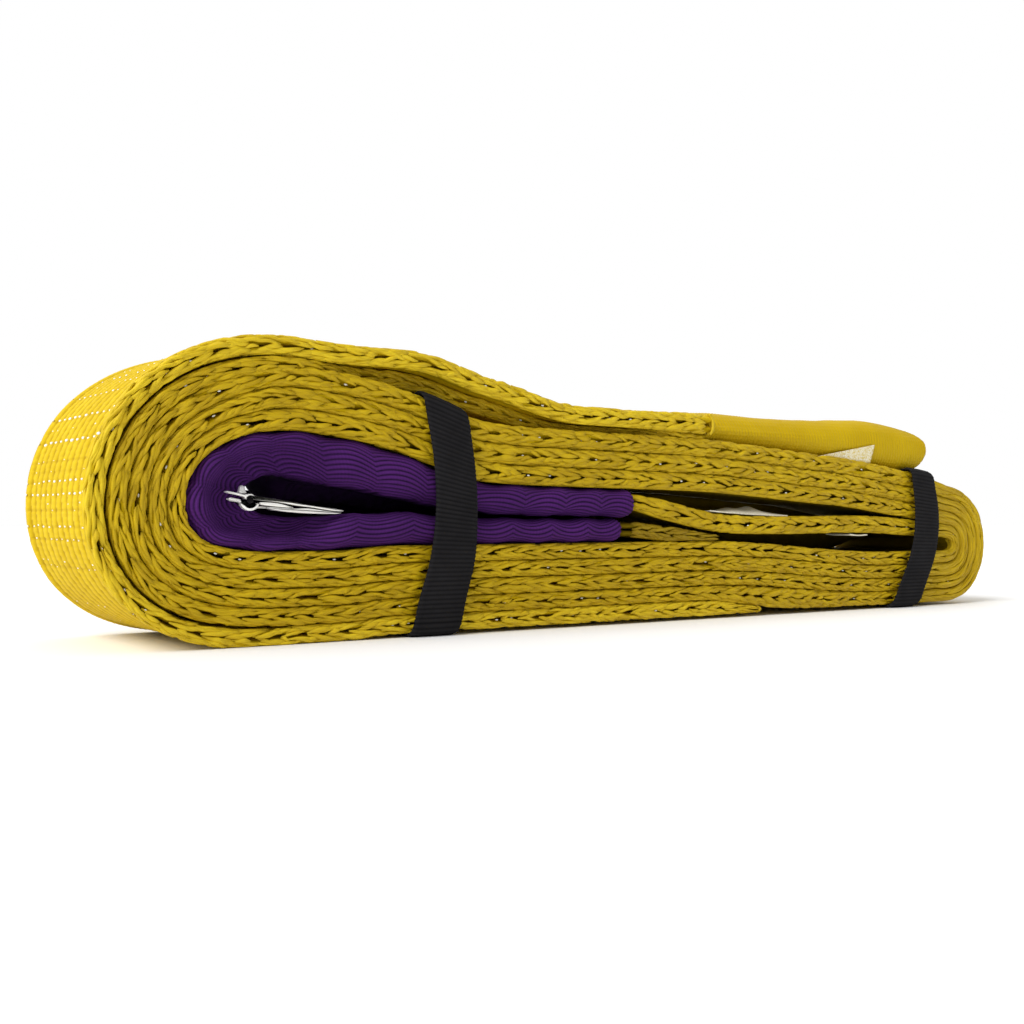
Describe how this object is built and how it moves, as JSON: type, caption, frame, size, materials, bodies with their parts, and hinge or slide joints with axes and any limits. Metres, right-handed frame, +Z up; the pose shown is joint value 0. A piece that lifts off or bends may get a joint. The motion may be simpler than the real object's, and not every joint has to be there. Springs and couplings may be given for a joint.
{
  "type": "flat web sling",
  "caption": "Wide two-ply lifting sling rolled up flat, with a wear sleeve on its inner eye, a folded outer eye, two elastic keeper bands, labels and a small spring clip.",
  "frame": {"origin": "under the middle of the whole object, on the surface that the roll lies on", "axes": "+X along the roll towards its thin end, +Y from the front selvedge to the back one, +Z up"},
  "size_m": [0.537, 0.1, 0.1236],
  "materials": {
    "web_yellow": "woven polyester web, ribbed face, plaited selvedge, matt with a slight sheen",
    "sleeve_purple": "ribbed woven tube, matt",
    "band_black": "cross-ribbed elastic, matt",
    "label_white": "woven label, matt",
    "thread_yellow": "sewing thread, slight sheen",
    "thread_black": "sewing thread, slight sheen",
    "clip_steel": "bright pressed steel"
  },
  "bodies": {
    "roll": {"web_outer_ply": "web_yellow", "web_inner_ply": "web_yellow", "splice_outer_ply": "web_yellow", "splice_inner_ply": "web_yellow", "splice_seam": "thread_yellow", "wear_sleeve": "sleeve_purple", "leg_label": "label_white", "label_tail": "label_white", "clip_lower_jaw": "clip_steel", "clip_pin": "clip_steel", "clip_leaf_spring": "clip_steel", "clip_knob": "clip_steel"},
    "outer_eye": {"outer_eye_cover_ply": "web_yellow", "outer_eye_lining_ply": "web_yellow", "eye_label": "label_white"},
    "left_band": {"left_band": "band_black", "left_band_bartack": "thread_black"},
    "right_band": {"right_band": "band_black", "right_band_bartack": "thread_black"},
    "clip_jaw": {"clip_upper_jaw": "clip_steel"}
  },
  "joints": [
    {"name": "outer_eye_lift", "type": "hinge", "parent": "roll", "child": "outer_eye", "pos_m": [0.04187, 0, 0.099], "axis": [0, -1, 0], "range_deg": [0, 45]},
    {"name": "left_band_slide", "type": "slide", "parent": "roll", "child": "left_band", "axis": [1, 0, 0], "range_m": [0, 0.012]},
    {"name": "right_band_slide", "type": "slide", "parent": "roll", "child": "right_band", "axis": [1, 0, 0], "range_m": [0, 0.045]},
    {"name": "clip_jaw_hinge", "type": "hinge", "parent": "roll", "child": "clip_jaw", "pos_m": [-0.20463, -0.04303, 0.0578], "axis": [0, -1, 0], "range_deg": [0, 8], "stiffness_Nm_per_rad": 0.02, "springref_deg": -5.73}
  ]
}
